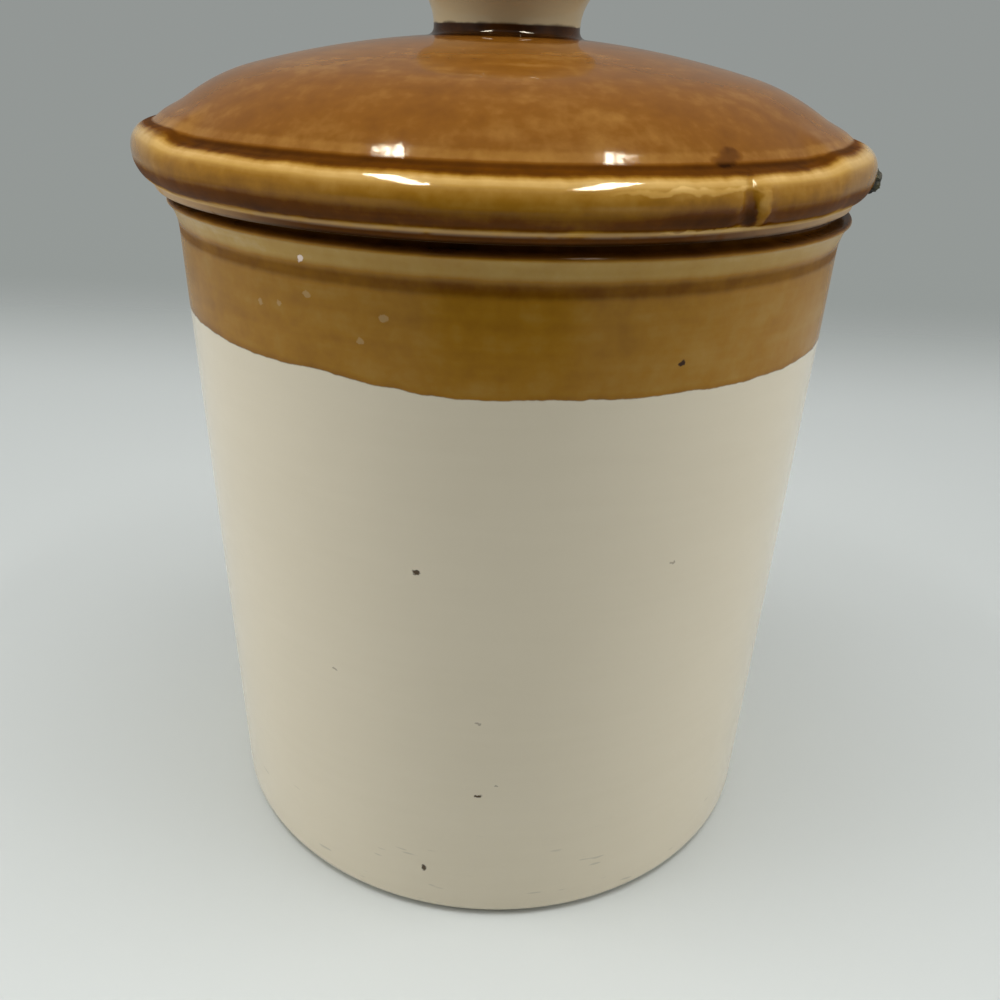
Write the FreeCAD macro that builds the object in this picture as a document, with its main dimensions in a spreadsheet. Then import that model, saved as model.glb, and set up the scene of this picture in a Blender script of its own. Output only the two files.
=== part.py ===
import FreeCAD, Part
import Sketcher
import math
import os
import re

# Ceramic tea canister: a thrown pot with a collared rim, and a domed lid with its knob.
# Both pieces are turned forms, so each one is a half section revolved about the pot's axis.
# Millimetres, +Z up. The pot stands on Z = 0 and its axis is the Z axis.

os.makedirs("parts", exist_ok=True)

doc = FreeCAD.newDocument("tea_canister")

# ---------------------------------------------------------------- driving sizes
sizes = [
    # pot
    ("wall_radius", 54.0, "outside of the wall at the foot"),
    ("wall_flare", 1.1, "how much wider the wall is under the collar"),
    ("pot_height", 117.4, "table to the rim that carries the lid"),
    ("wall_thickness", 5.0, "thickness of the wall"),
    ("floor_thickness", 6.5, "thickness of the floor, above the table"),
    ("floor_round", 9.0, "inside corner between wall and floor"),
    ("base_round", 2.5, "outside corner at the table"),
    ("foot_width", 9.0, "width of the ring that the pot stands on"),
    ("foot_recess", 1.4, "hollow inside the foot ring"),
    ("foot_bevel", 2.0, "slope at the side of that hollow"),
    # collar and rim
    ("collar_reach", 1.4, "how far the collar stands out from the wall"),
    ("collar_height", 0.8, "height of the collar's outer face"),
    ("collar_drop", 1.0, "rim down to the top of the collar"),
    ("cove_height", 4.4, "hollow curve from the collar down to the wall"),
    ("cove_radius", 9.0, "radius of that curve"),
    ("rim_step", 1.0, "rim face back from the outside of the wall"),
    ("gallery_fall", 0.4, "slope of the ledge between rim and collar"),
    ("rim_round", 0.4, "glazed edges of rim and collar"),
    ("mouth_round", 1.2, "inside edge of the mouth"),
    # lid
    ("lid_overhang", 4.2, "how far the lid's bead stands out from the top of the wall"),
    ("bead_radius", 3.6, "radius of the bead's section"),
    ("bead_inset", 0.1, "groove behind the bead, in from the bead's centre"),
    ("lip_inset", 2.6, "lip under the bead, in from the outermost point"),
    ("lip_height", 1.3, "height of that lip's upright face"),
    ("lip_round", 0.6, "lower edge of that lip"),
    ("lid_rise", 22.9, "top of the dome above the rim"),
    ("shoulder_radius", 32.0, "radius of the dome near the bead"),
    ("shoulder_angle", 47.5, "slope of the dome at the groove, in degrees"),
    ("lid_thickness", 5.5, "thickness of the dome at its middle"),
    ("ceiling_drop", 8.4, "middle of the hollow down to its edge"),
    ("ceiling_round", 4.0, "corner of the hollow under the dome"),
    ("lid_shift", 1.4, "how far the loose lid sits to the left"),
    # locating flange
    ("flange_clearance", 1.8, "free play between flange and mouth"),
    ("flange_depth", 6.0, "how far the flange reaches into the mouth"),
    ("flange_thickness", 3.5, "thickness of the flange"),
    ("flange_round", 1.2, "edges of the flange"),
    # knob
    ("neck_radius", 11.8, "waist of the knob"),
    ("neck_height", 1.0, "height of the waist above the top of the dome"),
    ("neck_sweep", 7.3, "hollow curve from the waist out to the cap"),
    ("knob_radius", 16.0, "widest part of the knob"),
    ("knob_edge", 4.6, "rounding of the knob's rim"),
    ("knob_height", 21.0, "top of the knob above the top of the dome"),
    ("neck_fillet", 1.5, "fillet between dome and knob"),
]

sheet = doc.addObject("Spreadsheet::Sheet", "Sizes")
for row, (name, value, note) in enumerate(sizes, start=1):
    sheet.set("A%d" % row, name)
    sheet.set("B%d" % row, str(value))
    sheet.set("C%d" % row, note)
    sheet.setAlias("B%d" % row, name)
doc.recompute()

size = {name: float(sheet.get(name)) for name, value, note in sizes}


# ---------------------------------------------------------------- small helpers
def bound(expression):
    """Turn an expression in plain size names into one that reads the sheet."""
    def name_of(found):
        word = found.group(0)
        return "Sizes." + word if word in size else word
    return re.sub(r"[a-z_]+", name_of, expression)


def worth(expression):
    """The present value of such an expression."""
    return float(sheet.evalExpression(bound(expression)))


def number(value):
    """A size given as an expression or as a plain number."""
    return worth(value) if isinstance(value, str) else value


def new_body(label):
    body = doc.addObject("PartDesign::Body", label)
    body.Label = label
    return body


def section_sketch(body, name):
    """An empty sketch on the body's own upright plane: sketch x is radius, y is height."""
    sketch = body.newObject("Sketcher::SketchObject", name)
    plane = [o for o in body.Origin.OriginFeatures if o.Role == "XZ_Plane"][0]
    sketch.AttachmentSupport = [(plane, "")]
    sketch.MapMode = "FlatFace"
    return sketch


def constrain(sketch, expression, kind, *geometry):
    """Add a dimension to the sketch and bind it to the sheet."""
    index = sketch.addConstraint(Sketcher.Constraint(kind, *geometry, worth(expression)))
    sketch.setExpression("Constraints[%d]" % index, bound(expression))


def draw_arc(sketch, start, end, radius):
    """The short arc between two points. A negative radius makes it hollow."""
    chord = end - start
    reach = math.sqrt(max(radius ** 2 - (chord.Length / 2) ** 2, 0.0))
    left = FreeCAD.Vector(-chord.y, chord.x, 0).normalize()
    centre = (start + end) * 0.5 + left * math.copysign(reach, radius)
    circle = Part.Circle(centre, FreeCAD.Vector(0, 0, 1), abs(radius))
    ends = (start, end) if radius > 0 else (end, start)
    angles = [math.atan2(p.y - centre.y, p.x - centre.x) for p in ends]
    return sketch.addGeometry(Part.ArcOfCircle(circle, angles[0], angles[1]))


def outline(sketch, corners):
    """Close an outline, anticlockwise, and return its edges as (geometry, start, end).

    A corner is (radius, height) or (radius, height, bend), where the bend is the radius of
    the arc that leads to it, hollow where it starts with a minus. Sizes given as text hold
    the outline. Sizes given as numbers are a first guess: such a corner runs on smoothly
    and slides, and such an arc finds its own radius about a centre on the axis.
    """
    points = [FreeCAD.Vector(number(c[0]), number(c[1]), 0) for c in corners]
    edges = []
    for i, corner in enumerate(corners):
        start, end = points[i - 1], points[i]
        if len(corner) == 2:
            edges.append((sketch.addGeometry(Part.LineSegment(start, end)), 1, 2))
            continue
        bend = corner[2]
        arc = draw_arc(sketch, start, end, number(bend))
        hollow = number(bend) < 0
        edges.append((arc, 2, 1) if hollow else (arc, 1, 2))
        if isinstance(bend, str):
            constrain(sketch, bend.lstrip("-"), "Radius", arc)
        else:
            sketch.addConstraint(Sketcher.Constraint("PointOnObject", arc, 3, -2))
    for i, corner in enumerate(corners):
        edge, far_end = edges[i][0], edges[i][2]
        following, near_end = edges[(i + 1) % len(corners)][:2]
        if not isinstance(corner[0], str):
            sketch.addConstraint(Sketcher.Constraint("Tangent", edge, far_end, following, near_end))
            continue
        sketch.addConstraint(Sketcher.Constraint("Coincident", edge, far_end, following, near_end))
        for value, kind, axis in ((corner[0], "DistanceX", -2), (corner[1], "DistanceY", -1)):
            if value == "0":
                sketch.addConstraint(Sketcher.Constraint("PointOnObject", edge, far_end, axis))
            else:
                constrain(sketch, value, kind, -1, 1, edge, far_end)
    return edges


def turn(body, kind, name, sketch):
    """Revolve the sketch all the way round the upright axis, adding or cutting."""
    feature = body.newObject("PartDesign::" + kind, name)
    feature.Profile = sketch
    feature.ReferenceAxis = (sketch, ["V_Axis"])
    feature.Angle = 360.0
    sketch.Visibility = False
    doc.recompute()
    return feature


def lies_on_ring(edge, radius, height):
    """True if the edge runs along the circle of that radius about the axis, at that height."""
    if edge.Degenerated:
        return False
    span = edge.LastParameter - edge.FirstParameter
    for share in (0.0, 0.3, 0.6):
        point = edge.valueAt(edge.FirstParameter + share * span)
        if abs(math.hypot(point.x, point.y) - radius) + abs(point.z - height) > 0.01:
            return False
    return True


def round_rings(body, base, name, amount, *rings):
    """Fillet the ring edges that lie at each (radius, height)."""
    edges = []
    for radius, height in rings:
        for index, edge in enumerate(base.Shape.Edges, start=1):
            if lies_on_ring(edge, number(radius), number(height)):
                edges.append("Edge%d" % index)
    fillet = body.newObject("PartDesign::Fillet", name)
    fillet.Base = (base, edges)
    fillet.setExpression("Radius", bound(amount))
    doc.recompute()
    return fillet


# ---------------------------------------------------------------- heights and radii worked out
# The pot's wall leans out a little, so the rim is wider than the foot.
wall_top = "(wall_radius + wall_flare)"
mouth_radius = "(wall_radius + wall_flare - wall_thickness)"
rim_outside = "(wall_radius + wall_flare - rim_step)"
collar_radius = "(wall_radius + wall_flare + collar_reach)"
collar_top = "(pot_height - collar_drop)"
collar_foot = "(pot_height - collar_drop - collar_height)"
foot_inside = "(wall_radius - base_round - foot_width)"

# The lid is drawn with its seat at height 0, and is then lifted onto the rim.
lid_radius = "(wall_radius + wall_flare + lid_overhang)"
lip_radius = "(wall_radius + wall_flare + lid_overhang - lip_inset)"
groove_radius = "(wall_radius + wall_flare + lid_overhang - bead_radius - bead_inset)"
bead_height = "(lip_height + sqrt(bead_radius ^ 2 - (bead_radius - lip_inset) ^ 2))"
groove_height = "(" + bead_height + " + sqrt(bead_radius ^ 2 - bead_inset ^ 2))"
flange_radius = "(wall_radius + wall_flare - wall_thickness - flange_clearance)"
hollow_radius = "(wall_radius + wall_flare - wall_thickness - flange_clearance - flange_thickness)"
ceiling = "(lid_rise - lid_thickness)"
ceiling_foot = "(lid_rise - lid_thickness - ceiling_drop)"
waist = "(lid_rise + neck_height)"
knob_top = "(lid_rise + knob_height)"


# ---------------------------------------------------------------- pot
def make_pot():
    pot = new_body("pot")

    turned = section_sketch(pot, "pot_section")
    outline(turned, [
        ("0", "0"),
        ("wall_radius", "0"),
        (wall_top, collar_foot + " - cove_height"),
        (collar_radius, collar_foot, "-cove_radius"),
        (collar_radius, collar_top),
        (rim_outside, collar_top + " + gallery_fall"),
        (rim_outside, "pot_height"),
        ("0", "pot_height"),
    ])
    clay = turn(pot, "Revolution", "thrown_wall", turned)

    inside = section_sketch(pot, "inside_section")
    outline(inside, [
        ("0", "floor_thickness"),
        ("wall_radius - wall_thickness - floor_round", "floor_thickness"),
        ("wall_radius - wall_thickness", "floor_thickness + floor_round", "floor_round"),
        (mouth_radius, "pot_height"),
        (mouth_radius, "pot_height + wall_thickness"),
        ("0", "pot_height + wall_thickness"),
    ])
    clay = turn(pot, "Groove", "inside", inside)

    under = section_sketch(pot, "foot_section")
    outline(under, [
        ("0", "-foot_recess"),
        (foot_inside + " + foot_bevel", "-foot_recess"),
        (foot_inside + " + foot_bevel", "0"),
        (foot_inside, "foot_recess"),
        ("0", "foot_recess"),
    ])
    clay = turn(pot, "Groove", "foot_hollow", under)

    clay = round_rings(pot, clay, "base_edge", "base_round", ("wall_radius", "0"))
    clay = round_rings(pot, clay, "mouth_edge", "mouth_round", (mouth_radius, "pot_height"))
    round_rings(
        pot, clay, "rim_edges", "rim_round",
        (rim_outside, "pot_height"),
        (collar_radius, collar_top),
    )
    return pot


# ---------------------------------------------------------------- lid
def crown_over(centre_r, centre_z, bend, top):
    """The arc about the axis that touches an edge arc and reaches the top.

    Returns the point where the two run together and the radius of the crown.
    """
    above = top - centre_z
    crown = (centre_r ** 2 + above ** 2 - bend ** 2) / (2 * (above - bend))
    share = crown / (crown - bend)
    crown_z = top - crown
    return centre_r * share, crown_z + (centre_z - crown_z) * share, crown


def dome_blend():
    slope = math.radians(size["shoulder_angle"])
    bend = size["shoulder_radius"]
    centre_r = worth(groove_radius) - bend * math.sin(slope)
    centre_z = worth(groove_height) - bend * math.cos(slope)
    return crown_over(centre_r, centre_z, bend, size["lid_rise"])


def knob_blends():
    """First guesses at where the knob's curves run together."""
    edge = size["knob_edge"]
    reach = size["neck_sweep"] + edge
    centre_r = size["knob_radius"] - edge
    across = size["neck_radius"] + size["neck_sweep"] - centre_r
    up = math.sqrt(reach ** 2 - across ** 2)
    centre_z = worth(waist) + up
    below = (centre_r + edge * across / reach, centre_z - edge * up / reach)
    return below, crown_over(centre_r, centre_z, edge, worth(knob_top))


def make_lid():
    lid = new_body("lid")
    blend_r, blend_z, crown = dome_blend()

    cover = section_sketch(lid, "cover_section")
    edges = outline(cover, [
        ("0", "-flange_depth"),
        (flange_radius, "-flange_depth"),
        (flange_radius, "0"),
        (lip_radius, "0"),
        (lip_radius, "lip_height"),
        (lid_radius, bead_height, "bead_radius"),
        (groove_radius, groove_height, "bead_radius"),
        (blend_r, blend_z, "shoulder_radius"),
        ("0", "lid_rise", crown),
    ])
    shoulder = edges[7][0]
    constrain(cover, "shoulder_radius * cos(shoulder_angle)", "DistanceY", shoulder, 3, shoulder, 1)
    clay = turn(lid, "Revolution", "domed_cover", cover)

    hollow = section_sketch(lid, "hollow_section")
    arch = (worth(hollow_radius) ** 2 + size["ceiling_drop"] ** 2) / (2 * size["ceiling_drop"])
    outline(hollow, [
        ("0", "-flange_depth - flange_thickness"),
        (hollow_radius, "-flange_depth - flange_thickness"),
        (hollow_radius, ceiling_foot),
        ("0", ceiling, arch),
    ])
    clay = turn(lid, "Groove", "hollow", hollow)

    below, (above_r, above_z, cap) = knob_blends()
    knob = section_sketch(lid, "knob_section")
    edges = outline(knob, [
        ("0", "lid_rise - lid_thickness / 2"),
        ("neck_radius", "lid_rise - lid_thickness / 2"),
        ("neck_radius", waist),
        (below[0], below[1], "-neck_sweep"),
        (above_r, above_z, "knob_edge"),
        ("0", knob_top, cap),
    ])
    sweep, edge = edges[3], edges[4][0]
    knob.addConstraint(Sketcher.Constraint("Horizontal", sweep[0], sweep[1], sweep[0], 3))
    constrain(knob, "knob_radius - knob_edge", "DistanceX", -1, 1, edge, 3)
    clay = turn(lid, "Revolution", "knob", knob)

    neck_foot = size["lid_rise"] - crown + math.sqrt(crown ** 2 - size["neck_radius"] ** 2)
    clay = round_rings(lid, clay, "knob_foot", "neck_fillet", ("neck_radius", neck_foot))
    clay = round_rings(lid, clay, "ceiling_corner", "ceiling_round", (hollow_radius, ceiling_foot))
    clay = round_rings(lid, clay, "lip_edge", "lip_round", (lip_radius, "0"))
    round_rings(
        lid, clay, "flange_edges", "flange_round",
        (flange_radius, "-flange_depth"),
        (hollow_radius, "-flange_depth"),
    )
    # The loose lid has slid a little to the left on the rim.
    lid.setExpression("Placement.Base.x", bound("-lid_shift"))
    lid.setExpression("Placement.Base.z", bound("pot_height"))
    return lid


# ---------------------------------------------------------------- build, check and save
pieces = [make_pot(), make_lid()]
doc.recompute()

for item in doc.Objects:
    bad = [state for state in item.State if state in ("Invalid", "Error")]
    if bad:
        raise RuntimeError("%s: %s" % (item.Name, ", ".join(bad)))
    shape = getattr(item, "Shape", None)
    if shape is not None and item.isDerivedFrom("PartDesign::Feature"):
        if shape.isNull() or not shape.isValid():
            raise RuntimeError("%s has no valid shape" % item.Name)

for piece in pieces:
    if len(piece.Shape.Solids) != 1 or not piece.Shape.isValid():
        raise RuntimeError("%s isn't one sound solid" % piece.Label)
    piece.Shape.exportStep("parts/%s.step" % piece.Label)
    box = piece.Shape.BoundBox
    print("%s: %.1f x %.1f x %.1f mm" % (piece.Label, box.XLength, box.YLength, box.ZLength))
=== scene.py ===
import math

import bpy
from mathutils import Euler, Matrix, Vector


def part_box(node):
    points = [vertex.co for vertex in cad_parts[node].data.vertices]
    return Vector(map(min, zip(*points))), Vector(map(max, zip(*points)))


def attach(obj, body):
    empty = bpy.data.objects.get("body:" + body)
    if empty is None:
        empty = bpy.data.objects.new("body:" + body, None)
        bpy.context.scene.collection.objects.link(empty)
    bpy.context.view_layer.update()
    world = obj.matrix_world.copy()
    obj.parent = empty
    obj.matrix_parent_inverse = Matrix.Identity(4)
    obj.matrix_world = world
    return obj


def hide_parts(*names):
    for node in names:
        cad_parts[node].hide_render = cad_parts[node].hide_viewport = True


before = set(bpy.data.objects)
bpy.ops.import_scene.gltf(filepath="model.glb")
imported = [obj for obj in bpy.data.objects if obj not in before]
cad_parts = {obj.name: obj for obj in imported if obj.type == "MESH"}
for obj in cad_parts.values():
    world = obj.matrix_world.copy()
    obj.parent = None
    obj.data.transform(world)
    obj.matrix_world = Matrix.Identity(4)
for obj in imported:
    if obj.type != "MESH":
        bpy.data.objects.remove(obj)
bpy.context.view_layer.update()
print("frame loaded")


# Shader maths: a Value is one output of a node, and sums of Values add Math nodes.
class Value:
    def __init__(self, tree, socket=None):
        self.tree = tree
        self.socket = socket

    def node(self, kind, settings, inputs, output=0):
        made = self.tree.nodes.new(kind)
        for name, setting in settings.items():
            if name == "stops":
                self.setStops(made.color_ramp, setting)
            else:
                setattr(made, name, setting)
        for name, value in inputs.items():
            if isinstance(value, Value):
                self.tree.links.new(value.socket, made.inputs[name])
            else:
                made.inputs[name].default_value = value
        return Value(self.tree, made.outputs[output])

    def setStops(self, ramp, stops):
        ramp.elements[0].position = stops[0][0]
        ramp.elements[1].position = stops[-1][0]
        for place, colour in stops[1:-1]:
            ramp.elements.new(place)
        for element, (place, colour) in zip(ramp.elements, stops):
            element.color = (*colour, 1)

    def math(self, operation, *values):
        return self.node("ShaderNodeMath", {"operation": operation}, dict(enumerate(values)))

    def largest(self, other):
        return self.math("MAXIMUM", self, other)

    def __add__(self, other):
        return self.math("ADD", self, other)

    def __sub__(self, other):
        return self.math("SUBTRACT", self, other)

    def __rsub__(self, other):
        return self.math("SUBTRACT", other, self)

    def __mul__(self, other):
        return self.math("MULTIPLY", self, other)

    def __truediv__(self, other):
        return self.math("DIVIDE", self, other)

    def __pow__(self, other):
        return self.math("POWER", self, other)

    __radd__ = __add__
    __rmul__ = __mul__

    # 0 below low, 1 above high, smooth between; low may be the larger one
    def ramp(self, low, high):
        ends = {"Value": self, "From Min": low, "From Max": high}
        return self.node("ShaderNodeMapRange", {"interpolation_type": "SMOOTHSTEP"}, ends)

    # 1 near the middle, 0 further away than the width
    def near(self, middle, width):
        return self.math("ABSOLUTE", self - middle).ramp(width, width * 0.25)

    # the level that a list of (place, level) steps gives at this value
    def follow(self, steps):
        low = steps[0][0]
        high = steps[-1][0]
        stops = [((place - low) / (high - low), (level, level, level)) for place, level in steps]
        share = (self - low) / (high - low)
        return self.node("ShaderNodeValToRGB", {"stops": stops}, {"Fac": share})

    # numbers: the first where this mask is 0, the second where it is 1
    def between(self, first, second):
        return first * (1 - self) + second * self

    # colours: the first where this mask is 0, the second where it is 1
    def mix(self, first, second):
        colours = []
        for colour in (first, second):
            colours.append(colour if isinstance(colour, Value) else (*colour, 1))
        inputs = {0: self, 6: colours[0], 7: colours[1]}
        return self.node("ShaderNodeMix", {"data_type": "RGBA"}, inputs, 2)

    def noise(self, vector, scale, detail=2.0):
        inputs = {"Vector": vector, "Scale": scale, "Detail": detail}
        return self.node("ShaderNodeTexNoise", {}, inputs)

    def vector(self, x, y, z):
        return self.node("ShaderNodeCombineXYZ", {}, {"X": x, "Y": y, "Z": z})

    # the parts of a texture coordinate
    def parts(self, coordinate):
        way = self.node("ShaderNodeTexCoord", {}, {}, coordinate)
        parts = {"point": way}
        for axis in "XYZ":
            parts[axis.lower()] = self.node("ShaderNodeSeparateXYZ", {}, {0: way}, axis)
        return parts


def newMaterial(name):
    material = bpy.data.materials.new(name)
    material.use_nodes = True
    shader = material.node_tree.nodes["Principled BSDF"]
    return material, Value(material.node_tree), shader


def feed(value, socket):
    value.tree.links.new(value.socket, socket)


# where a point lies on a turned piece: radius from the axis, height, direction round it
def turnedPlace(graph, axisX):
    place = graph.parts("Object")
    place["x"] = place["x"] - axisX
    place["radius"] = (place["x"] * place["x"] + place["y"] * place["y"]) ** 0.5
    place["across"] = place["x"] / place["radius"]
    place["along"] = place["y"] / place["radius"]
    return place


# how far a point lies from a ring of this radius at this height
def fromRing(place, radius, height):
    out = place["radius"] - radius
    up = place["z"] - height
    return (out * out + up * up) ** 0.5


# noise drawn out round the piece, as a brush or a turning wheel leaves it
def streaks(graph, place, around, upright, detail=2.0):
    way = graph.vector(place["across"] * around, place["along"] * around,
                       (place["z"] + place["radius"]) * upright)
    return graph.noise(way, 1.0, detail)


# a soft-edged spot on the front of a piece, by its distance to the right and its height
def spot(place, x, z, width, height, outer=1.3, inner=0.5):
    aside = (place["x"] - x) / (width / 2)
    up = (place["z"] - z) / (height / 2)
    facing = place["along"].ramp(-0.02, -0.10)
    return (aside * aside + up * up).ramp(outer, inner) * facing


# several such spots in one mask
def spots(place, marks):
    mask = spot(place, *marks[0])
    for mark in marks[1:]:
        mask = mask.largest(spot(place, *mark))
    return mask


# the same place pushed about by noise, so that spots on it lose their plain outline
def bentPlace(graph, place, scale, reach):
    sideways = graph.noise(place["point"], scale, 3.0)
    upwards = graph.noise(place["point"], scale * 1.3, 3.0)
    bent = dict(place)
    bent["x"] = place["x"] + (sideways - 0.5) * reach
    bent["z"] = place["z"] + (upwards - 0.5) * reach
    return bent


# the noises that break up a glaze, and their sum, which swings round 0
def glazeNoises(graph, place, glaze):
    brush = glaze["brush"]
    noises = {"brush": streaks(graph, place, brush["around"], brush["upright"])}
    for name, detail in (("cloud", 3.0), ("mottle", 3.0), ("grain", 2.0)):
        noises[name] = graph.noise(place["point"], glaze[name]["scale"], detail)
    noises["uneven"] = sum((noise - 0.5) * glaze[name]["share"] for name, noise in noises.items())
    return noises


# glaze by its depth: pale where it runs thin, nearly black where it pools
def glazeByDepth(depth, tones):
    stops = [(0.0, tones["pale"]), (0.25, tones["thin"]), (0.5, tones["amber"]),
             (0.75, tones["deep"]), (1.0, tones["pooled"])]
    return depth.node("ShaderNodeValToRGB", {"stops": stops}, {"Fac": depth})


# colour, roughness and relief of a fired glaze; it is matt where the dull mask is 1
def dressSurface(material, shader, glaze, noises, colour, roughness, relief, dull):
    for name, share in glaze["relief"].items():
        relief = relief + noises[name] * share
    bumps = {"Height": relief, "Distance": glaze["bumpHeight"], "Strength": 1.0}
    normal = colour.node("ShaderNodeBump", {}, bumps)
    shader.inputs["IOR"].default_value = glaze["glassIor"]
    feed(colour, shader.inputs["Base Color"])
    feed(roughness, shader.inputs["Roughness"])
    feed(normal, shader.inputs["Normal"])
    glossy = Value(colour.tree, shader.outputs[0])
    inputs = {"Base Color": colour, "Roughness": 0.9, "IOR": 1.0, "Normal": normal}
    flat = colour.node("ShaderNodeBsdfPrincipled", {}, inputs)
    surface = colour.node("ShaderNodeMixShader", {}, {0: dull, 1: glossy, 2: flat})
    feed(surface, material.node_tree.nodes["Material Output"].inputs["Surface"])


# Places taken from the frame, in metres
potLow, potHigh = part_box("pot")
lidLow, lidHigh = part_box("lid")
rimHeight = potHigh.z
collarRadius = (potHigh.x - potLow.x) / 2
lidRadius = (lidHigh.x - lidLow.x) / 2
lidAxis = (lidHigh.x + lidLow.x) / 2    # the loose lid lies a little to the left
flangeFoot = lidLow.z
poleRadius = 0.0004    # a section starts and ends this near the axis, and is closed there


# points of an arc in the half section, angles in degrees from level, outwards first
def arc(radius, height, bend, start, end, steps):
    points = []
    for step in range(1, steps + 1):
        angle = math.radians(start + (end - start) * step / steps)
        points.append((radius + bend * math.cos(angle), height + bend * math.sin(angle)))
    return points


# points between two corners, so that long runs carry some rings too
def run(start, end, steps):
    points = []
    for step in range(1, steps + 1):
        share = step / steps
        points.append((start[0] + (end[0] - start[0]) * share, start[1] + (end[1] - start[1]) * share))
    return points


# The crown arc about the axis that runs smoothly into an edge arc: its radius and their slope
def crownOver(centreRadius, centreHeight, bend, top):
    above = top - centreHeight
    crown = (centreRadius ** 2 + above ** 2 - bend ** 2) / (2 * (above - bend))
    slope = math.degrees(math.atan2(centreHeight - top + crown, centreRadius))
    return crown, slope


def takeAll(action):
    bpy.ops.mesh.select_all(action=action)


# A ring is pulled up from a circle and pulled in or out at each height of the section.
def turnPiece(name, section, segments):
    bpy.ops.object.select_all(action="DESELECT")
    radius, height = section[0]
    bpy.ops.mesh.primitive_circle_add(vertices=segments, radius=radius, location=(0, 0, height))
    piece = bpy.context.object
    piece.name = name
    bpy.ops.object.mode_set(mode="EDIT")
    takeAll("SELECT")
    for nextRadius, nextHeight in section[1:]:
        rise = (0, 0, nextHeight - height)
        scale = nextRadius / radius
        bpy.ops.mesh.extrude_region_move(TRANSFORM_OT_translate={"value": rise})
        bpy.ops.transform.resize(value=(scale, scale, 1), center_override=(0, 0, nextHeight))
        radius, height = nextRadius, nextHeight
    bpy.ops.mesh.merge(type="CENTER")
    takeAll("DESELECT")
    bpy.ops.mesh.select_non_manifold()
    bpy.ops.mesh.merge(type="CENTER")
    takeAll("SELECT")
    bpy.ops.mesh.normals_make_consistent(inside=False)
    bpy.ops.object.mode_set(mode="OBJECT")
    bpy.ops.object.shade_smooth()
    settle(piece)
    return piece


# puts a finished piece's place and turn into its mesh
def settle(piece):
    bpy.ops.object.select_all(action="DESELECT")
    piece.select_set(True)
    bpy.context.view_layer.objects.active = piece
    bpy.ops.object.transform_apply(location=True, rotation=True, scale=True)


def finishPiece(piece, material, node=None):
    piece.data.materials.clear()
    piece.data.materials.append(material)
    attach(piece, "root")
    if node:
        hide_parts(node)


potSizes = {
    "collarReach": 0.0014,
    "collarFace": 0.0008,
    "noseBend": 0.0007,
    "coveDrop": 0.0044,
    "coveBend": 0.0090,
    "wallFlare": 0.0011,
    "wallThickness": 0.0050,
    "floorThickness": 0.0065,
    "floorBend": 0.0090,
    "baseBend": 0.0025,
    "footWidth": 0.0090,
    "footSlope": 0.0015,
    "footRecess": 0.0014,
    "rimStep": 0.0010,
    "rimBend": 0.0004,
    "mouthBend": 0.0012,
    "collarDrop": 0.0010,
    "segments": 384,
}
collarTop = rimHeight - potSizes["collarDrop"]
wallRadius = collarRadius - potSizes["collarReach"]    # at the top, under the collar
mouthRadius = wallRadius - potSizes["wallThickness"]


def potSection():
    size = potSizes
    foot = wallRadius - size["wallFlare"]
    noseHeight = collarTop - size["noseBend"]
    coveHeight = collarTop - size["collarFace"] - size["coveDrop"]
    coveSlope = 180 - math.degrees(math.asin(size["coveDrop"] / size["coveBend"]))
    rim = wallRadius - size["rimStep"]
    inside = foot - size["wallThickness"]
    ring = foot - size["baseBend"] - size["footWidth"]
    floorHeight = size["floorThickness"] + size["floorBend"]
    points = [(poleRadius, size["footRecess"])]
    points += run(points[-1], (ring - size["footSlope"], size["footRecess"]), 8)
    points += run(points[-1], (ring, 0.0), 3)
    points += run(points[-1], (foot - size["baseBend"], 0.0), 4)
    points += arc(foot - size["baseBend"], size["baseBend"], size["baseBend"], -90, 0, 8)
    points += run(points[-1], (wallRadius, coveHeight), 34)
    points += arc(wallRadius + size["coveBend"], coveHeight, size["coveBend"], 180, coveSlope, 12)
    points += run(points[-1], (collarRadius, noseHeight), 2)
    points += arc(collarRadius - size["noseBend"], noseHeight, size["noseBend"], 0, 80, 6)
    points += run(points[-1], (rim + 0.0002, collarTop + 0.0002), 3)
    points += run(points[-1], (rim, rimHeight - size["rimBend"]), 2)
    points += arc(rim - size["rimBend"], rimHeight - size["rimBend"], size["rimBend"], 0, 90, 5)
    points += run(points[-1], (mouthRadius + size["mouthBend"], rimHeight), 2)
    mouthCentre = (mouthRadius + size["mouthBend"], rimHeight - size["mouthBend"])
    points += arc(*mouthCentre, size["mouthBend"], 90, 180, 6)
    points += run(points[-1], (inside, floorHeight), 14)
    points += arc(inside - size["floorBend"], floorHeight, size["floorBend"], 0, -90, 8)
    points += run(points[-1], (poleRadius, size["floorThickness"]), 6)
    return points


lidSizes = {
    "flangeDepth": 0.0060,
    "beadBend": 0.0036,
    "grooveInset": 0.0001,
    "lipHeight": 0.0013,
    "lipBend": 0.0009,
    "lipInset": 0.0026,
    "shoulderBend": 0.0320,
    "shoulderSlope": 47.5,
    "shoulderTurn": 1.6,
    "domeRise": 0.0229,
    "flangeRadius": 0.0483,
    "flangeThickness": 0.0035,
    "flangeBend": 0.0012,
    "domeThickness": 0.0055,
    "ceilingDrop": 0.0084,
    "neckRadius": 0.0118,
    "neckHeight": 0.0010,
    "neckSweep": 0.0073,
    "neckFillet": 0.0012,
    "knobRadius": 0.0160,
    "knobEdge": 0.0046,
    "segments": 384,
}
seat = flangeFoot + lidSizes["flangeDepth"]
beadRadius = lidRadius - lidSizes["beadBend"]
lipRadius = lidRadius - lidSizes["lipInset"]
beadDrop = math.sqrt(lidSizes["beadBend"] ** 2 - (lipRadius - beadRadius) ** 2)
beadHeight = seat + lidSizes["lipHeight"] + beadDrop
grooveRadius = beadRadius - lidSizes["grooveInset"]
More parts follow.
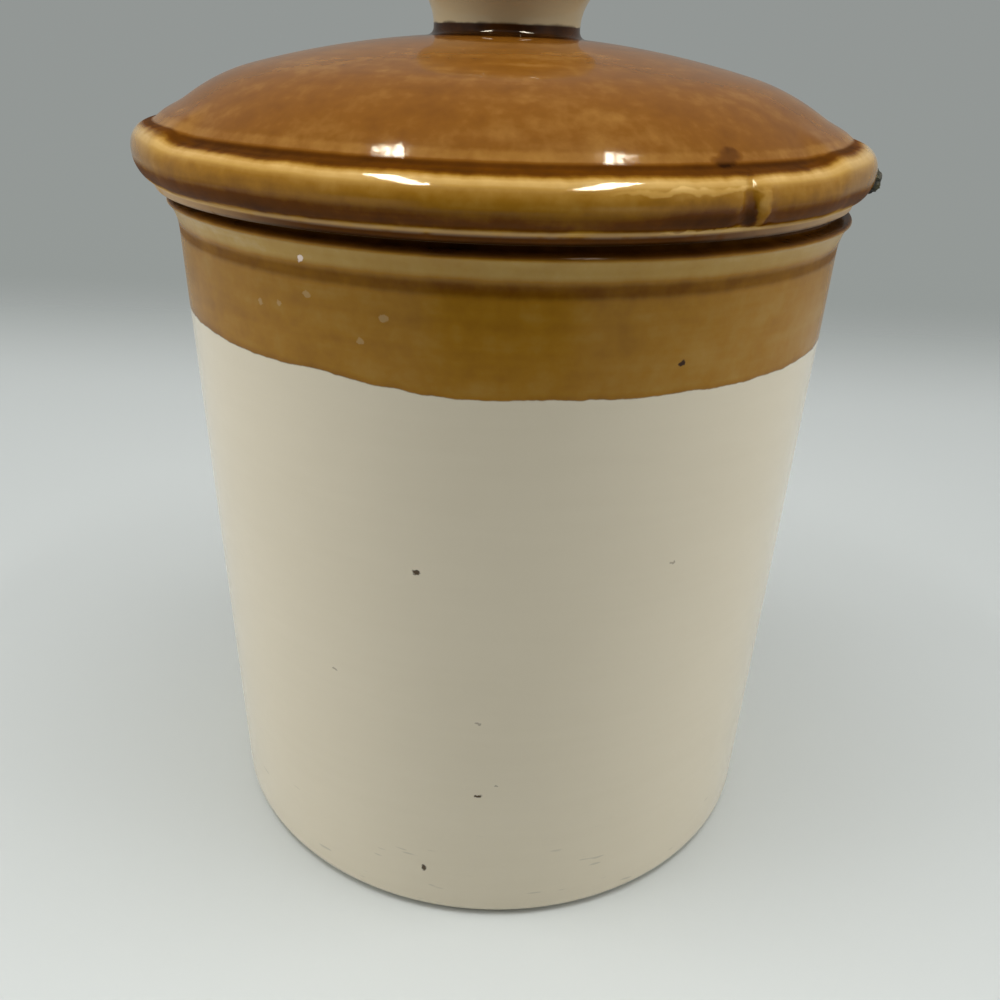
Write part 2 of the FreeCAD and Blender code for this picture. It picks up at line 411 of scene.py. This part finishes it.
grooveHeight = beadHeight + math.sqrt(lidSizes["beadBend"] ** 2 - lidSizes["grooveInset"] ** 2)
domeTop = seat + lidSizes["domeRise"]


# the outside of the lid, from the knob's top down to the lip
def lidOutside():
    size = lidSizes
    slope = math.radians(size["shoulderSlope"])
    shoulder = (grooveRadius - size["shoulderBend"] * math.sin(slope),
                grooveHeight - size["shoulderBend"] * math.cos(slope))
    crown, blend = crownOver(*shoulder, size["shoulderBend"], domeTop)
    crownHeight = domeTop - crown
    waist = domeTop + size["neckHeight"]
    edgeRadius = size["knobRadius"] - size["knobEdge"]
    sweepRadius = size["neckRadius"] + size["neckSweep"]
    reach = size["neckSweep"] + size["knobEdge"]
    edgeHeight = waist + math.sqrt(reach ** 2 - (sweepRadius - edgeRadius) ** 2)
    under = math.degrees(math.atan2(waist - edgeHeight, sweepRadius - edgeRadius))
    cap, capBlend = crownOver(edgeRadius, edgeHeight, size["knobEdge"], lidHigh.z)
    filletRadius = size["neckRadius"] + size["neckFillet"]
    filletHeight = crownHeight + math.sqrt((crown + size["neckFillet"]) ** 2 - filletRadius ** 2)
    onDome = math.degrees(math.atan2(filletHeight - crownHeight, filletRadius))
    shoulderEnd = 90 - size["shoulderSlope"] + size["shoulderTurn"]
    points = [(poleRadius, lidHigh.z)]
    points += arc(0, lidHigh.z - cap, cap, 88, capBlend, 14)
    points += arc(edgeRadius, edgeHeight, size["knobEdge"], capBlend, under, 14)
    points += arc(sweepRadius, waist, size["neckSweep"], 180 + under, 180, 10)
    points += run(points[-1], (size["neckRadius"], filletHeight), 2)
    points += arc(filletRadius, filletHeight, size["neckFillet"], 180, 180 + onDome, 6)
    points += arc(0, crownHeight, crown, onDome, blend, 22)
    points += arc(*shoulder, size["shoulderBend"], blend, shoulderEnd, 14)
    points += [(grooveRadius - 0.00012, grooveHeight + 0.00022)]    # the groove's rounded bottom
    points += [(grooveRadius + 0.00030, grooveHeight + 0.00004)]
    points += arc(beadRadius, beadHeight, size["beadBend"], 82, -68, 36)
    points += run(points[-1], (lipRadius + 0.0001, seat + size["lipHeight"] - 0.0001), 2)
    points += arc(lipRadius - size["lipBend"], seat + size["lipBend"], size["lipBend"], 10, -90, 7)
    return points


# the flange and the hollow under the dome follow from the lip inwards
def lidSection():
    size = lidSizes
    bend = size["flangeBend"]
    outer = size["flangeRadius"]
    inner = outer - size["flangeThickness"]
    ceiling = domeTop - size["domeThickness"]
    ceilingFoot = ceiling - size["ceilingDrop"]
    arch = (inner ** 2 + size["ceilingDrop"] ** 2) / (2 * size["ceilingDrop"])
    archSlope = math.degrees(math.atan2(arch - size["ceilingDrop"], inner))
    points = lidOutside()
    points += run(points[-1], (outer, seat), 4)
    points += run(points[-1], (outer, flangeFoot + bend), 3)
    points += arc(outer - bend, flangeFoot + bend, bend, 0, -90, 4)
    points += arc(inner + bend, flangeFoot + bend, bend, -90, -180, 4)
    points += run(points[-1], (inner, ceilingFoot), 5)
    points += arc(0, ceiling - arch, arch, archSlope, 89.5, 14)
    return points


# the pleat in the bead and the glaze gathered about it; each mark has its distance to the right of
# the pleat and above it, its width and height, its outer and inner edge, and how much deeper it is;
# bent and loose are the scale and reach of the noise that pushes the marks about
pleat = {
    "x": 0.0303,
    "z": 0.1219,
    "marks": {
        "valley": (0.0, 0.0, 0.0017, 0.0066, 1.8, 0.1, 0.20),
        "ridge": (0.0019, -0.0008, 0.0014, 0.0046, 2.4, 0.0, -0.26),
        "blotch": (-0.0060, -0.0010, 0.0100, 0.0036, 1.8, 0.1, 0.12),
        "ragged": (-0.0040, -0.0030, 0.0140, 0.0010, 1.4, 0.4, -0.36),
        "crease": (-0.0075, 0.0019, 0.0170, 0.0007, 1.8, 0.1, -0.20),
    },
    "bent": (360, 0.0026),
    "loose": (150, 0.0030),
    "valleyRelief": -1.2,
    "ridgeRelief": 0.8,
    "valleyPull": (-0.00020, 0.00042, 0),
    "valleyReach": 0.0022,
    "ridgePull": (0.00022, -0.00038, 0),
    "ridgeReach": 0.0020,
    "ridgeAside": 0.0021,
    "halfWidth": 0.0005,
    "halfHeight": 0.0022,
}
beadShape = {
    "endsFrom": 0.80,
    "endsLift": (0, 0, 0.0012),
    "endsReach": 0.0065,
    "rightFrom": 0.93,
    "rightPull": (0.0007, 0, 0),
    "rightReach": 0.014,
}


# moves the points that a test picks, and their neighbours within reach
def pullPoints(piece, picks, pull, reach):
    takeAll("DESELECT")
    bpy.ops.object.mode_set(mode="OBJECT")
    for vertex in piece.data.vertices:
        x, y, z = vertex.co
        vertex.select = picks(x, y, math.hypot(x, y), z)
    bpy.ops.object.mode_set(mode="EDIT")
    bpy.ops.transform.translate(value=pull, use_proportional_edit=True, proportional_size=reach,
                                proportional_edit_falloff="SMOOTH")


def onBeadTop(x, y, radius, z):
    high = radius > grooveRadius - 0.0003 and z > beadHeight + 0.0018
    return high and abs(x) > beadShape["endsFrom"] * radius


def onRightEnd(x, y, radius, z):
    outside = radius > grooveRadius and z > seat
    return outside and x > beadShape["rightFrom"] * radius


def onPleat(x, y, radius, z, aside=0):
    outside = radius > beadRadius + 0.0012 and y < 0
    level = abs(z - pleat["z"]) < pleat["halfHeight"]
    return outside and level and abs(x - pleat["x"] - aside) < pleat["halfWidth"]


def besidePleat(x, y, radius, z):
    return onPleat(x, y, radius, z, pleat["ridgeAside"])


# The bead stands a little higher at both ends of the lid and further out on the right,
# and it is pleated at the front right.
def shapeBead(piece):
    bpy.ops.object.mode_set(mode="EDIT")
    bpy.ops.mesh.select_mode(type="VERT")
    pullPoints(piece, onBeadTop, beadShape["endsLift"], beadShape["endsReach"])
    pullPoints(piece, onRightEnd, beadShape["rightPull"], beadShape["rightReach"])
    pullPoints(piece, onPleat, pleat["valleyPull"], pleat["valleyReach"])
    pullPoints(piece, besidePleat, pleat["ridgePull"], pleat["ridgeReach"])
    bpy.ops.object.mode_set(mode="OBJECT")


# a dark lump of kiln dirt stuck to the edge of the lid
nubPlan = {
    "angle": 71,
    "radius": 0.0597,
    "height": 0.1219,
    "size": 0.0009,
    "stretch": (1.25, 1.25, 1.90),
    "lean": 8,
    "smoothAngle": 18,
    "lumpiness": 0.00016,
    "dark": (0.020, 0.021, 0.016),
    "light": (0.060, 0.0546, 0.0224),
    "gritScale": 700,
    "rim": (0.58, 0.46, 0.38),
    "rimInner": 0.0028,
    "rimOuter": 0.0040,
}
nubAngle = math.radians(nubPlan["angle"])
nubMiddle = Vector((lidAxis + nubPlan["radius"] * math.sin(nubAngle),
                    -nubPlan["radius"] * math.cos(nubAngle), nubPlan["height"]))


def makeNub():
    bpy.ops.object.select_all(action="DESELECT")
    bpy.ops.mesh.primitive_ico_sphere_add(subdivisions=3, radius=nubPlan["size"], location=nubMiddle)
    nub = bpy.context.object
    nub.name = "edgeNub"
    nub.scale = nubPlan["stretch"]
    nub.rotation_euler = (0, math.radians(nubPlan["lean"]), nubAngle)
    bpy.ops.object.mode_set(mode="EDIT")
    takeAll("SELECT")
    bpy.ops.transform.vertex_random(offset=nubPlan["lumpiness"], uniform=0.0, normal=0.6, seed=4)
    bpy.ops.mesh.normals_make_consistent(inside=False)
    bpy.ops.object.mode_set(mode="OBJECT")
    settle(nub)
    bpy.ops.object.shade_smooth_by_angle(angle=math.radians(nubPlan["smoothAngle"]))
    return nub


def makeNubGlaze():
    material, graph, shader = newMaterial("nubGlaze")
    place = graph.parts("Object")
    grit = graph.noise(place["point"], nubPlan["gritScale"], 3.0)
    feed(grit.ramp(0.45, 0.70).mix(nubPlan["dark"], nubPlan["light"]), shader.inputs["Base Color"])
    feed(0.55 + grit * 0.3, shader.inputs["Roughness"])
    return material


# What makes the glaze deeper stands as a share of its whole range; less than 0 is thinner.
lidGlaze = {
    "pale": (0.64, 0.42, 0.16),
    "thin": (0.44, 0.225, 0.048),
    "amber": (0.206, 0.076, 0.0068),
    "deep": (0.094, 0.029, 0.002),
    "pooled": (0.022, 0.007, 0.001),
    # the knob's cream is a darker, browner copy of the pot's cream: painted shade and painted amber
    # bounce light from the dome
    "cream": (0.52, 0.415, 0.25),
    "biscuit": (0.52, 0.44, 0.33),
    "lipWorn": (0.50, 0.38, 0.27),
    "brush": {"around": 2.2, "upright": 620, "share": 0.16},
    "cloud": {"scale": 42, "share": 0.24},
    "mottle": {"scale": 330, "share": 0.22},
    "grain": {"scale": 900, "share": 0.06},
    "relief": {"grain": 0.10, "mottle": 0.12, "brush": 0.06},
    "bumpHeight": 0.00012,
    "roughness": 0.07,
    "bareRoughness": 0.40,
    "grainRoughness": 0.03,
    "glassIor": 1.40,
    "dullness": 0.35,
    "grooveDullness": 0.9,
    "wornShare": 0.75,
    "inGroove": 0.34,
    "besideGroove": -0.07,
    "aroundKnob": 0.37,
    "paintedKnobReflection": 0.05,
    "smudge": (0.0276, 0.1271, 0.0044, 0.0014, 1.9, 0.0),
    "inSmudge": 0.26,
}
# on the bead, depth and dullness go by the angle round its section, in degrees from level; the pale
# crest near 40 to 50 degrees is partly thin glaze and partly a painted highlight, and the dark between
# -55 and -24 degrees is partly pooled glaze and partly painted shade under the bead
beadGlaze = {
    "pale": (0.71, 0.46, 0.155),
    "thin": (0.49, 0.275, 0.055),
    "amber": (0.295, 0.134, 0.0085),
    "deep": (0.112, 0.034, 0.001),
    "pooled": (0.042, 0.013, 0.001),
    "depthsAndLight": [(-72, 0.26), (-62, 0.26), (-55, 0.52), (-48, 0.80), (-38, 0.83), (-24, 0.78),
               (-12, 0.67), (-2, 0.56), (12, 0.52), (24, 0.47), (31, 0.38), (38, 0.19), (47, 0.12),
               (54, 0.30), (61, 0.66), (70, 0.86), (100, 0.86)],
    "dulls": [(-72, 0.85), (-16, 0.80), (-2, 0.10), (50, 0.0), (58, 0.40), (66, 0.90), (100, 0.90)],
    "wanderScale": 3.5,
    "wanderSwing": 12,
    "mottleSwing": 10,
    "highlightSideTurn": -9,
    "unevenness": 1.3,
    "lip": 0.82,
    "lipTop": -0.56,
    "lipSides": -0.44,
    "lipFootShade": 0.25,
    "lipDullness": 0.8,
}


def domeDepth(place, noises, fromGroove, loose):
    glaze = lidGlaze
    aroundKnob = fromRing(place, lidSizes["neckRadius"] + 0.0006, domeTop + 0.0002).ramp(0.0026, 0.0010)
    depth = 0.50 + noises["uneven"]
    depth = depth + fromGroove.ramp(0.0013, 0.0004) * glaze["inGroove"]
    depth = depth + fromGroove.near(0.0018, 0.0012) * glaze["besideGroove"]
    depth = depth + aroundKnob * glaze["aroundKnob"]
    # painted reflection of the knob: the dome is made darker towards its top
    depth = depth + place["radius"].ramp(0.032, 0.016) * glaze["paintedKnobReflection"]
    return depth + spot(loose, *glaze["smudge"]) * glaze["inSmudge"]


def lipDepthAndShade(place, noises, sides):
    glaze = beadGlaze
    depth = glaze["lip"] + noises["uneven"] + sides * glaze["lipSides"]
    depth = depth + place["z"].ramp(seat + 0.0010, seat + 0.0014) * glaze["lipTop"]
    # painted shade on the lip's underside: darker towards its foot
    return depth + place["z"].ramp(seat + 0.0006, seat + 0.0002) * glaze["lipFootShade"]


# where the fired clay is bare: below the seat, and the hollow under the dome
def bareClay(place):
    under = place["z"].ramp(seat + 0.0001, seat - 0.0001)
    dome = place["z"] + place["radius"] * place["radius"] * 3.0
    inFlange = place["radius"].ramp(lidSizes["flangeRadius"] - 0.0015, lidSizes["flangeRadius"] - 0.0021)
    hollow = inFlange * place["z"].ramp(domeTop - 0.0038, domeTop - 0.0042)
    hollow = hollow * dome.ramp(domeTop - 0.0030, domeTop - 0.0036)
    return under.largest(hollow)


def makeLidGlaze():
    glaze = lidGlaze
    material, graph, shader = newMaterial("lidGlaze")
    place = turnedPlace(graph, lidAxis)
    noises = glazeNoises(graph, place, glaze)
    ringWay = graph.vector(place["across"], place["along"], 0.0)
    wander = graph.noise(ringWay, beadGlaze["wanderScale"], 3.0)
    sides = graph.math("ABSOLUTE", place["across"]).ramp(0.35, 0.95)
    bent = bentPlace(graph, place, *pleat["bent"])
    loose = bentPlace(graph, place, *pleat["loose"])
    fromGroove = fromRing(place, grooveRadius, grooveHeight)

    tilt = graph.math("ARCTAN2", place["z"] - beadHeight, place["radius"] - beadRadius)
    tilt = tilt * math.degrees(1) + (wander - 0.5) * beadGlaze["wanderSwing"]
    # towards the sides the painted crest highlight and the painted shade below it move up the bead
    tilt = tilt + (noises["mottle"] - 0.5) * beadGlaze["mottleSwing"] + sides * beadGlaze["highlightSideTurn"]
    # the bead's colour carries painted light: a painted highlight along the crest and painted shade on
    # its underside
    beadDepthAndLight = tilt.follow(beadGlaze["depthsAndLight"]) + noises["uneven"] * beadGlaze["unevenness"]
    marks = {}
    for name, (aside, up, width, height, outer, inner, deeper) in pleat["marks"].items():
        on = loose if name == "crease" else bent
        marks[name] = spot(on, pleat["x"] + aside, pleat["z"] + up, width, height, outer, inner)
        beadDepthAndLight = beadDepthAndLight + marks[name] * deeper
    onLip = place["z"].ramp(seat + 0.0015, seat + 0.0012)
    beadDepthAndLight = onLip.between(beadDepthAndLight, lipDepthAndShade(place, noises, sides))

    onBead = place["radius"].ramp(grooveRadius - 0.0002, grooveRadius + 0.0004)
    onDome = glazeByDepth(domeDepth(place, noises, fromGroove, loose), glaze)
    colour = onBead.mix(onDome, glazeByDepth(beadDepthAndLight, beadGlaze))
    lipLine = place["z"].near(seat + 0.0014, 0.0006)
    worn = (onLip * sides).largest(lipLine * 0.45)
    worn = worn * (noises["mottle"] + wander * 0.6).ramp(0.50, 0.82)
    colour = (worn * glaze["wornShare"]).mix(colour, glaze["lipWorn"])
    # painted shade on the knob: its cream is a darker, browner copy of the pot's cream
    onKnob = place["z"].ramp(domeTop + 0.0010, domeTop + 0.0014 + (wander - 0.5) * 0.0014)
    colour = onKnob.mix(colour, glaze["cream"])
    bare = bareClay(place)
    colour = bare.mix(colour, glaze["biscuit"])
    apart = {"operation": "DISTANCE"}
    fromNub = graph.node("ShaderNodeVectorMath", apart, {0: place["point"], 1: nubMiddle}, "Value")
    rim = fromNub + (noises["mottle"] - 0.5) * 0.0016
    colour = rim.ramp(nubPlan["rimOuter"], nubPlan["rimInner"]).mix(colour, nubPlan["rim"])

    roughness = glaze["roughness"] + bare * glaze["bareRoughness"]
    roughness = roughness + noises["grain"] * glaze["grainRoughness"]
    relief = marks["valley"] * pleat["valleyRelief"] + marks["ridge"] * pleat["ridgeRelief"]
    dull = (fromGroove.ramp(0.0018, 0.0007) * glaze["grooveDullness"]).largest(glaze["dullness"])
    dull = onBead.between(dull, tilt.follow(beadGlaze["dulls"]))
    dull = dull.largest(onLip * beadGlaze["lipDullness"])
    dressSurface(material, shader, glaze, noises, colour, roughness, relief, dull)
    return material


# Marks on the front are given as distance to the right of the middle, height, width and height of
# the mark. lineRise follows the glaze line above lineHeight from left to right, as shares of
# lineRange.
potGlaze = {
    "pale": (0.56, 0.46, 0.28),
    "thin": (0.42, 0.26, 0.065),
    "amber": (0.320, 0.150, 0.0095),
    "deep": (0.140, 0.050, 0.0015),
    "pooled": (0.034, 0.010, 0.001),
    "cream": (0.71, 0.635, 0.490),
    "creamWorn": (0.60, 0.525, 0.385),
    "biscuit": (0.56, 0.47, 0.35),
    "speck": (0.075, 0.045, 0.018),
    "scratch": (0.36, 0.33, 0.27),
    "chip": (0.80, 0.66, 0.58),
    "palePoint": (0.62, 0.50, 0.30),
    "brush": {"around": 2.4, "upright": 500, "share": 0.16},
    "cloud": {"scale": 38, "share": 0.26},
    "mottle": {"scale": 300, "share": 0.20},
    "grain": {"scale": 900, "share": 0.06},
    "relief": {"grain": 0.08, "mottle": 0.10, "brush": 0.05},
    "glazeRelief": 0.8,
    "bumpHeight": 0.00012,
    "roughness": 0.10,
    "footRoughness": 0.5,
    "grainRoughness": 0.04,
    "glassIor": 1.40,
    "dullness": 0.35,
    "coveDullness": 0.7,
    "ledgeThinAndSheen": -0.22,
    "inCove": 0.19,
    "alongLine": 0.10,
    "pooledAndShadeUnderLid": 0.42,
    "wornShare": 0.16,
    "scrapeShare": 0.40,
    "fleckShare": 0.45,
    "paleShare": 0.26,
    "bent": (900, 0.0012),
    "lineHeight": 0.0968,
    "lineScale": 14,
    "lineNoise": 0.0008,
    "lineRange": 0.002,
    "lineRise": [(-1.0, 0.98), (-0.85, 0.98), (-0.75, 0.90), (-0.68, 0.78), (-0.55, 0.81),
                 (-0.45, 0.93), (-0.39, 0.77), (-0.34, 0.56), (-0.24, 0.41), (-0.18, 0.21),
                 (-0.10, 0.16), (0.0, 0.16), (0.06, 0.25), (0.20, 0.27), (0.27, 0.15), (0.45, 0.20),
                 (0.60, 0.13), (1.0, 0.13)],
    "creamSpecks": [(-0.0116, 0.0706, 0.0013, 0.0008), (-0.0018, 0.0288, 0.0014, 0.0007),
                    (-0.0109, 0.0105, 0.0010, 0.0016)],
    "creamFlecks": [(-0.0253, 0.0490, 0.0009, 0.0005), (0.0260, 0.0707, 0.0009, 0.0005),
                    (0.0012, 0.0312, 0.0008, 0.0004), (-0.0020, 0.0440, 0.0010, 0.0005)],
    "paleFlecks": [(-0.0330, 0.1067, 0.0009, 0.0009), (-0.0300, 0.1071, 0.0008, 0.0008),
                   (-0.0256, 0.1090, 0.0010, 0.0009), (-0.0152, 0.1073, 0.0012, 0.0012),
                   (-0.0186, 0.1040, 0.0010, 0.0009)],
    "bandHole": (0.0234, 0.1020, 0.0008, 0.0008),
    "collarNick": (-0.0261, 0.1135, 0.0007, 0.0012),
}


# the amber band round the top: darker in the cove under the ledge where it pools, paler on the ledge
# with a painted reflection of the floor, and darker at the very edge with painted shade under the lid
def bandGlaze(place, noises, above, cove, bent):
    glaze = potGlaze
    # painted reflection of the floor: the ledge's downward face is paler, partly also thin glaze
    ledge = place["z"].ramp(collarTop - 0.0036, collarTop - 0.0026)
    ledge = ledge * place["z"].ramp(collarTop, collarTop - 0.0006)
    depth = 0.50 + noises["uneven"] + ledge * glaze["ledgeThinAndSheen"] + cove * glaze["inCove"]
    depth = depth + above.ramp(0.0012, 0.0) * glaze["alongLine"]
    # painted shade under the lid's overhang: the collar's top is darker, partly also pooled glaze
    depth = depth + place["z"].ramp(collarTop - 0.0011, collarTop - 0.0002) * glaze["pooledAndShadeUnderLid"]
    colour = glazeByDepth(depth, glaze)
    colour = (spots(bent, glaze["paleFlecks"]) * glaze["paleShare"]).mix(colour, glaze["palePoint"])
    colour = spot(bent, *glaze["bandHole"]).mix(colour, glaze["pooled"])
    return spot(bent, *glaze["collarNick"]).mix(colour, glaze["chip"])


# the cream body, scraped near the foot, with a few iron specks
def creamGlaze(graph, place, noises, bent):
    glaze = potGlaze
    worn = (noises["cloud"] * 0.6 + noises["brush"] * 0.4).ramp(0.30, 0.75)
    colour = (worn * glaze["wornShare"]).mix(glaze["cream"], glaze["creamWorn"])
    scrape = streaks(graph, place, 9, 900, 1.0).ramp(0.70, 0.77) * place["z"].ramp(0.024, 0.012)
    colour = (scrape * glaze["scrapeShare"]).mix(colour, glaze["scratch"])
    flecks = spots(bent, glaze["creamFlecks"]) * glaze["fleckShare"]
    marks = spots(bent, glaze["creamSpecks"]).largest(flecks)
    return marks.mix(colour, glaze["speck"])


def makePotGlaze():
    glaze = potGlaze
    material, graph, shader = newMaterial("potGlaze")
    place = turnedPlace(graph, 0)
    noises = glazeNoises(graph, place, glaze)
    bent = bentPlace(graph, place, *glaze["bent"])
    ringWay = graph.vector(place["across"], place["along"], 0.0)
    line = graph.noise(ringWay, glaze["lineScale"], 3.0) * glaze["lineNoise"] + glaze["lineHeight"]
    line = line + place["across"].follow(glaze["lineRise"]) * glaze["lineRange"]
    above = place["z"] - line
    cove = place["z"].near(collarTop - 0.0046, 0.0015)

    inMouth = place["radius"].ramp(mouthRadius + 0.0011, mouthRadius + 0.0007)
    inMouth = inMouth * place["z"].ramp(rimHeight - 0.0099, rimHeight - 0.0109)
    glazed = above.ramp(0.0, 0.00022) * (1 - inMouth)
    band = bandGlaze(place, noises, above, cove, bent)
    colour = glazed.mix(creamGlaze(graph, place, noises, bent), band)
    foot = place["z"].ramp(0.0005, 0.0001)
    colour = foot.mix(colour, glaze["biscuit"])

    roughness = glaze["roughness"] + foot * glaze["footRoughness"]
    roughness = roughness + noises["grain"] * glaze["grainRoughness"]
    dull = cove.largest(place["z"].ramp(collarTop - 0.0008, collarTop - 0.0002)) * glaze["coveDullness"]
    dull = dull.largest(glazed * glaze["dullness"])
    relief = glazed * glaze["glazeRelief"]
    dressSurface(material, shader, glaze, noises, colour, roughness, relief, dull)
    return material


# the camera stands close, a little above the lid; distance and height are in radii of the wall
viewPlan = {
    "lens": 32.02,
    "sensor": 36.0,
    "nearest": 0.005,
    "distance": 3.0088,
    "height": 2.5465,
    "pitch": 26.666,
    "turn": 0.058,
    "roll": 2.016,
}


def makeCamera():
    wall = wallRadius - potSizes["wallFlare"]
    lens = bpy.data.cameras.new("view")
    lens.sensor_width = viewPlan["sensor"]
    lens.lens = viewPlan["lens"]
    lens.clip_start = viewPlan["nearest"]
    camera = bpy.data.objects.new("view", lens)
    bpy.context.collection.objects.link(camera)
    aim = Euler((math.radians(90 - viewPlan["pitch"]), 0, math.radians(-viewPlan["turn"])))
    turned = aim.to_matrix() @ Matrix.Rotation(math.radians(viewPlan["roll"]), 3, "Z")
    camera.matrix_world = turned.to_4x4()
    camera.location = (0, -viewPlan["distance"] * wall, viewPlan["height"] * wall)
    bpy.context.scene.camera = camera
    print("camera placed")


# a white tent, dim at the front and over the lid, with two rows of lamp strips in its ceiling
lightPlan = {
    "wallColour": (0.40, 0.41, 0.40),
    "floorColour": (0.52, 0.54, 0.53),
    "openColour": (0.15, 0.14, 0.125),
    "ceilingColour": (0.13, 0.13, 0.13),
    "standingDark": (0.05, 0.045, 0.04),
    "backColour": (0.302, 0.325, 0.312),
    "backTop": (0.290, 0.308, 0.300),
    "stripHeight": 0.40,
    "stripSide": 0.120,
    "stripGap": 0.013,
    "stripMiddle": -0.130,
    "stripSize": (0.0070, 0.19),
    "stripPower": 0.45,
    "stripColour": (1.0, 0.93, 0.74),
    "rowMiddle": -0.085,
    "rowSize": (0.03, 0.11),
    "rowPower": 0.22,
    "fillPlace": (0, -0.12, 0.95),
    "fillSize": (0.80, 0.50),
    "fillPower": 4.2,
    "sidePlace": (0.82, -0.10, 0.32),
    "sideSize": (0.60, 0.50),
    "sideLean": 73,
    "leftPower": 3.2,
    "rightPower": 2.5,
}


# the camera sees the plain back, and so does the gloss where it looks that way
def makeWorld():
    plan = lightPlan
    world = bpy.data.worlds.new("tent")
    world.use_nodes = True
    tree = world.node_tree
    tree.nodes.clear()
    graph = Value(tree)
    way = graph.parts("Generated")
    level = (way["x"] * way["x"] + way["y"] * way["y"]) ** 0.5
    behind = way["y"] / level
    front = (behind * -1).ramp(0.55, 0.80)
    tent = (front * way["z"].ramp(0.80, 0.55)).mix(plan["wallColour"], plan["openColour"])
    tent = way["z"].ramp(0.78, 0.92).mix(tent, plan["ceilingColour"])
    tent = way["z"].ramp(0.02, -0.06).mix(tent, plan["floorColour"])
    # the dark of whoever stands in the open front
    standing = (behind * -1).ramp(0.85, 0.96) * way["z"].ramp(0.60, 0.40)
    tent = standing.mix(tent, plan["standingDark"])
    back = way["z"].ramp(-0.35, 0.10).mix(plan["backColour"], plan["backTop"])
    camera = graph.node("ShaderNodeLightPath", {}, {}, "Is Camera Ray")
    glossy = graph.node("ShaderNodeLightPath", {}, {}, "Is Glossy Ray")
    seen = camera.largest(glossy * behind.ramp(-0.5, 0.1)).mix(tent, back)
    glow = graph.node("ShaderNodeBackground", {}, {"Color": seen})
    sky = tree.nodes.new("ShaderNodeOutputWorld")
    feed(glow, sky.inputs["Surface"])
    bpy.context.scene.world = world


# strips only show in the gloss, and the other lamps only light
def hangLamp(name, place, width, length, power, lean=0):
    lamp = bpy.data.lights.new(name, "AREA")
    lamp.shape = "RECTANGLE"
    lamp.size = width
    lamp.size_y = length
    lamp.energy = power
    holder = bpy.data.objects.new(name, lamp)
    bpy.context.collection.objects.link(holder)
    holder.location = place
    holder.rotation_euler.y = math.radians(lean)
    holder.visible_glossy = name == "strip"
    holder.visible_diffuse = name != "strip"
    if name == "strip":
        lamp.color = lightPlan["stripColour"]


def hangLamps():
    plan = lightPlan
    for side in (-1, 1):
        for row in (-1, 0, 1):
            across = side * (plan["stripSide"] + row * plan["stripGap"])
            place = (across, plan["stripMiddle"], plan["stripHeight"])
            hangLamp("strip", place, *plan["stripSize"], plan["stripPower"])
        place = (side * plan["stripSide"], plan["rowMiddle"], plan["stripHeight"])
        hangLamp("row", place, *plan["rowSize"], plan["rowPower"])
    hangLamp("fill", plan["fillPlace"], *plan["fillSize"], plan["fillPower"])
    x, y, z = plan["sidePlace"]
    hangLamp("left", (-x, y, z), *plan["sideSize"], plan["leftPower"], -plan["sideLean"])
    hangLamp("right", (x, y, z), *plan["sideSize"], plan["rightPower"], plan["sideLean"])
    print("lamps hung")


# a pale plain floor that fades into the back
floorPlan = {
    "colour": (0.60, 0.63, 0.62),
    "roughness": 0.45,
    "halfWidth": 0.70,
    "deepFade": (0.20, 0.43),
    "wideFade": (0.48, 0.68),
}


def makeFloor():
    plan = floorPlan
    bpy.ops.object.select_all(action="DESELECT")
    bpy.ops.mesh.primitive_plane_add(size=2 * plan["halfWidth"], location=(0, 0, 0))
    floor = bpy.context.object
    floor.name = "floor"
    material, graph, shader = newMaterial("floor")
    place = graph.parts("Object")
    deep = 1 - graph.math("ABSOLUTE", place["y"]).ramp(*plan["deepFade"])
    wide = 1 - graph.math("ABSOLUTE", place["x"]).ramp(*plan["wideFade"])
    feed(deep * wide, shader.inputs["Alpha"])
    shader.inputs["Base Color"].default_value = (*plan["colour"], 1)
    shader.inputs["Roughness"].default_value = plan["roughness"]
    floor.data.materials.append(material)
    print("floor laid")


pot = turnPiece("potBody", potSection(), potSizes["segments"])
finishPiece(pot, makePotGlaze(), "pot")
print("pot turned")

lid = turnPiece("lidAndKnob", lidSection(), lidSizes["segments"])
shapeBead(lid)
lid.location.x = lidAxis
settle(lid)
finishPiece(lid, makeLidGlaze(), "lid")
print("lid turned")

finishPiece(makeNub(), makeNubGlaze())
print("nub made")

makeCamera()
makeWorld()
hangLamps()
makeFloor()
bpy.context.scene.view_settings.view_transform = "Standard"
